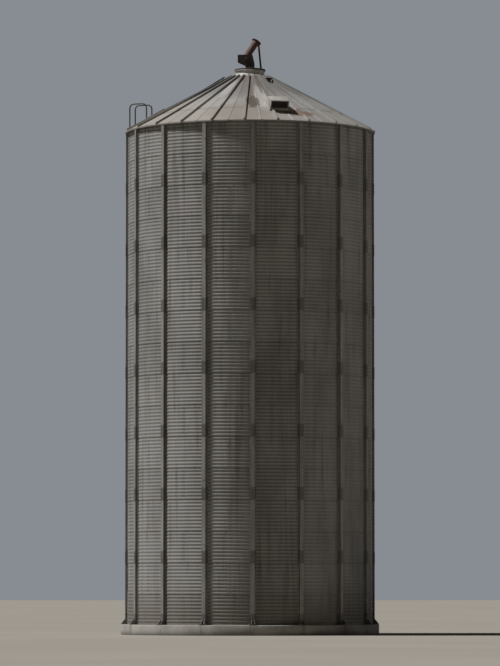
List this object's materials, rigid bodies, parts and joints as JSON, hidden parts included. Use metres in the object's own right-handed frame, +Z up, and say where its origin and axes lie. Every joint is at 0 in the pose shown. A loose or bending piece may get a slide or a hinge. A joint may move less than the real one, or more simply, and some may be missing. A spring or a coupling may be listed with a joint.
{
  "type": "grain silo",
  "caption": "Round corrugated steel farm silo with upright stiffeners on a concrete base and a ribbed cone roof, which stores bulk grain dropped in through a peak inlet.",
  "frame": {"origin": "centre of the concrete base's underside, on the ground, on the silo's axis", "axes": "+Z up along the silo's axis, -Y towards the side that the picture shows, +X to its right"},
  "size_m": [7.698, 7.698, 17.8914],
  "materials": {
    "concrete": null,
    "wall_sheet": "weathered galvanised corrugated sheet, dull, stained brown in streaks",
    "stiffener_steel": "weathered galvanised pressed section, dark with grime",
    "roof_sheet": "weathered galvanised ribbed sheet with a warm dust film",
    "dark_steel": "dark dirty paint, matt, rust at the edges",
    "rusty_steel": "dull red oxide and rust, matt",
    "vent_steel": "weathered galvanised hood, dull, with rust runs",
    "ladder_steel": "dull weathered galvanised steel"
  },
  "bodies": {
    "root": {"concrete_base": "concrete", "wall_stave_1": "wall_sheet", "wall_stave_2": "wall_sheet", "wall_stave_3": "wall_sheet", "wall_stave_4": "wall_sheet", "wall_stave_5": "wall_sheet", "wall_stave_6": "wall_sheet", "wall_stave_7": "wall_sheet", "wall_stave_8": "wall_sheet", "stiffener_01": "stiffener_steel", "stiffener_02": "stiffener_steel", "stiffener_03": "stiffener_steel", "stiffener_04": "stiffener_steel", "stiffener_05": "stiffener_steel", "stiffener_06": "stiffener_steel", "stiffener_07": "stiffener_steel", "stiffener_08": "stiffener_steel", "stiffener_09": "stiffener_steel", "stiffener_10": "stiffener_steel", "stiffener_11": "stiffener_steel", "stiffener_12": "stiffener_steel", "stiffener_13": "stiffener_steel", "stiffener_14": "stiffener_steel", "stiffener_15": "stiffener_steel", "stiffener_16": "stiffener_steel", "roof_sector_1": "roof_sheet", "roof_sector_2": "roof_sheet", "roof_sector_3": "roof_sheet", "roof_sector_4": "roof_sheet", "roof_sector_5": "roof_sheet", "roof_sector_6": "roof_sheet", "roof_sector_7": "roof_sheet", "roof_sector_8": "roof_sheet", "peak_collar": "roof_sheet", "peak_cap": "dark_steel", "inlet_box": "dark_steel", "inlet_stub": "rusty_steel", "roof_vent_1": "vent_steel", "roof_vent_2": "vent_steel", "roof_hatch_curb": "roof_sheet", "roof_hatch_lid": "roof_sheet", "wall_ladder": "ladder_steel", "eave_rail_left": "ladder_steel", "eave_rail_right": "ladder_steel", "roof_ladder": "ladder_steel", "access_door": "wall_sheet"}
  },
  "joints": []
}
